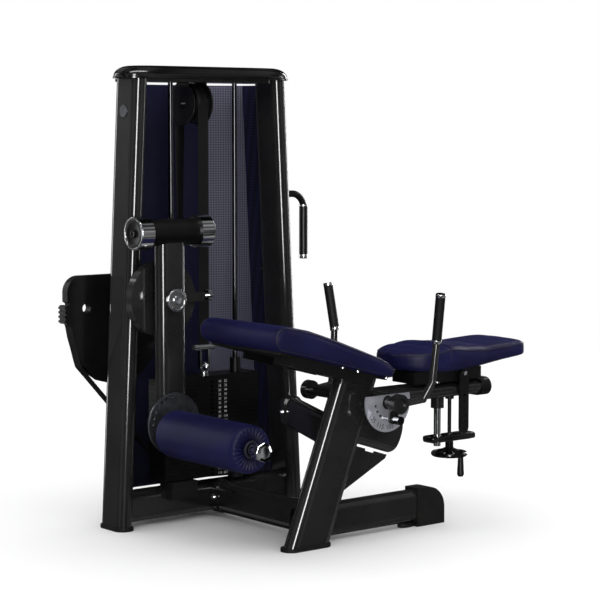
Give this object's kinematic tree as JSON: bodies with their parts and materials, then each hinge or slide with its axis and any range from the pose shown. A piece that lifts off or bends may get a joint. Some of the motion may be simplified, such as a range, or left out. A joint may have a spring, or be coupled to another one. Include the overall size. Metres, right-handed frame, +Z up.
{
  "type": "leg extension machine",
  "caption": "Seated leg extension machine: weight stack tower, cam driven swing lever with ankle roller, sloping seat and reclining backrest with handwheel.",
  "frame": {"origin": "floor level, at the middle of the machine's bounding box", "axes": "+Z up; -X towards the lever side that the user faces; -Y towards the bench, away from the weight tower"},
  "size_m": [1.468, 1.0858, 1.63],
  "materials": {
    "frame_paint": "satin charcoal black powder coat",
    "stack_paint": "black painted plate steel",
    "sheet_blue": "dark blue perforated sheet",
    "sheet_light": "lighter see-through perforated sheet",
    "black_plastic": "black moulded plastic",
    "gloss_black": "gloss black moulded lid",
    "rubber": "black rubber",
    "belt": "black flat drive belt",
    "chrome": "bright chrome plate",
    "aluminium": "satin aluminium",
    "upholstery": "dark navy synthetic leather"
  },
  "bodies": {
    "frame": {"uprights": "frame_paint", "base_beam": "frame_paint", "spine_beam": "frame_paint", "foot_beam": "frame_paint", "bench_leg": "frame_paint", "pivot_stub": "frame_paint", "recline_housing": "frame_paint", "stub_gusset": "frame_paint", "brace_tube": "frame_paint", "joint_collars": "frame_paint", "screws": "chrome", "feet": "rubber", "top_cap": "gloss_black", "crossbar": "frame_paint", "name_badge": "aluminium", "shroud": "sheet_blue", "shroud_strip": "sheet_light", "guide_rods": "chrome", "base_blocks": "rubber", "resting_plates": "stack_paint", "lift_belt": "belt", "return_belt": "belt", "pulley_cheeks": "frame_paint", "bottom_bracket": "frame_paint", "bearing_housing": "frame_paint", "seat_pad": "upholstery", "seat_frame": "black_plastic", "scale_disc": "aluminium", "entry_handle": "black_plastic"},
    "stack": {"lifted_plates": "stack_paint", "head_plate": "stack_paint", "selector_rod": "chrome", "belt_clamp": "chrome"},
    "pin": {"selector_pin": "chrome"},
    "top_wheel": {"top_pulley": "black_plastic"},
    "low_wheel": {"bottom_pulley": "black_plastic"},
    "swing": {"cam_shaft": "chrome", "index_disc": "frame_paint", "belt_cam": "stack_paint", "cam_belt_clamp": "black_plastic", "cam_belt": "belt", "pivot_cap": "chrome"},
    "lever_arm": {"lever": "frame_paint", "counterweight": "stack_paint", "weight_discs": "chrome", "ankle_sector": "aluminium"},
    "start_plunger": {"index_plunger": "chrome"},
    "crank": {"ankle_crank": "chrome"},
    "roller": {"roller_tube": "black_plastic", "ankle_roller": "upholstery"},
    "carriage": {"back_carrier": "frame_paint", "carrier_cap": "black_plastic", "handle_bars": "frame_paint", "hand_grips": "rubber"},
    "angle_plunger": {"recline_plunger": "chrome"},
    "backrest": {"back_plate": "black_plastic", "back_pad": "upholstery", "adjust_columns": "chrome"},
    "wheel": {"handwheel": "gloss_black"},
    "knob": {"crank_grip": "black_plastic"}
  },
  "joints": [
    {"name": "stack_lift", "type": "slide", "parent": "frame", "child": "stack", "axis": [0, 0, 1], "range_m": [0, 0.349], "deforming": ["lift_belt"]},
    {"name": "exercise_swing", "type": "hinge", "parent": "frame", "child": "swing", "pos_m": [-0.491, 0.33187, 0.82], "axis": [0, 1, 0], "range_deg": [0, 100], "deforming": ["return_belt"]},
    {"name": "top_wheel_spin", "type": "hinge", "parent": "frame", "child": "top_wheel", "pos_m": [-0.221, 0.40437, 1.5], "axis": [-1, 0, 0], "range_deg": [-5, 285]},
    {"name": "low_wheel_spin", "type": "hinge", "parent": "frame", "child": "low_wheel", "pos_m": [-0.266, 0.47687, 0.19], "axis": [0, 1, 0], "range_deg": [-5, 455]},
    {"name": "selector_pull", "type": "slide", "parent": "stack", "child": "pin", "axis": [0, -1, 0], "range_m": [0, 0.09]},
    {"name": "start_position", "type": "hinge", "parent": "swing", "child": "lever_arm", "pos_m": [-0.491, 0.16187, 0.82], "axis": [0, 1, 0], "range_deg": [0, 50]},
    {"name": "start_plunger_pull", "type": "slide", "parent": "lever_arm", "child": "start_plunger", "axis": [1, 0, 0], "range_m": [0, 0.012], "stiffness_N_per_m": 800, "springref_m": -0.01},
    {"name": "ankle_adjust", "type": "hinge", "parent": "lever_arm", "child": "crank", "pos_m": [-0.499, 0.12387, 0.39], "axis": [0, 1, 0], "range_deg": [-20, 20]},
    {"name": "roller_spin", "type": "hinge", "parent": "crank", "child": "roller", "pos_m": [-0.524, -0.12612, 0.362], "axis": [0, 1, 0], "continuous": true},
    {"name": "backrest_recline", "type": "hinge", "parent": "frame", "child": "carriage", "pos_m": [0.014, -0.22812, 0.478], "axis": [0, -1, 0], "range_deg": [0, 64]},
    {"name": "angle_plunger_pull", "type": "slide", "parent": "carriage", "child": "angle_plunger", "axis": [0, -1, 0], "range_m": [0, 0.012], "stiffness_N_per_m": 800, "springref_m": -0.01},
    {"name": "back_slide", "type": "slide", "parent": "carriage", "child": "backrest", "axis": [0, 0, 1], "range_m": [0, 0.1]},
    {"name": "handwheel_spin", "type": "hinge", "parent": "carriage", "child": "wheel", "pos_m": [0.477, -0.22812, 0.228], "axis": [0, 0, 1], "range_deg": [0, 1800]},
    {"name": "crank_grip_spin", "type": "hinge", "parent": "wheel", "child": "knob", "pos_m": [0.535, -0.22812, 0.136], "axis": [0, 0, 1], "continuous": true}
  ],
  "couplings": [
    {"joint": "exercise_swing", "follows": "stack_lift", "rad_per_m": 5},
    {"joint": "top_wheel_spin", "follows": "stack_lift", "rad_per_m": 13.793},
    {"joint": "low_wheel_spin", "follows": "stack_lift", "rad_per_m": 22.222},
    {"joint": "handwheel_spin", "follows": "back_slide", "rad_per_m": 314.15}
  ]
}
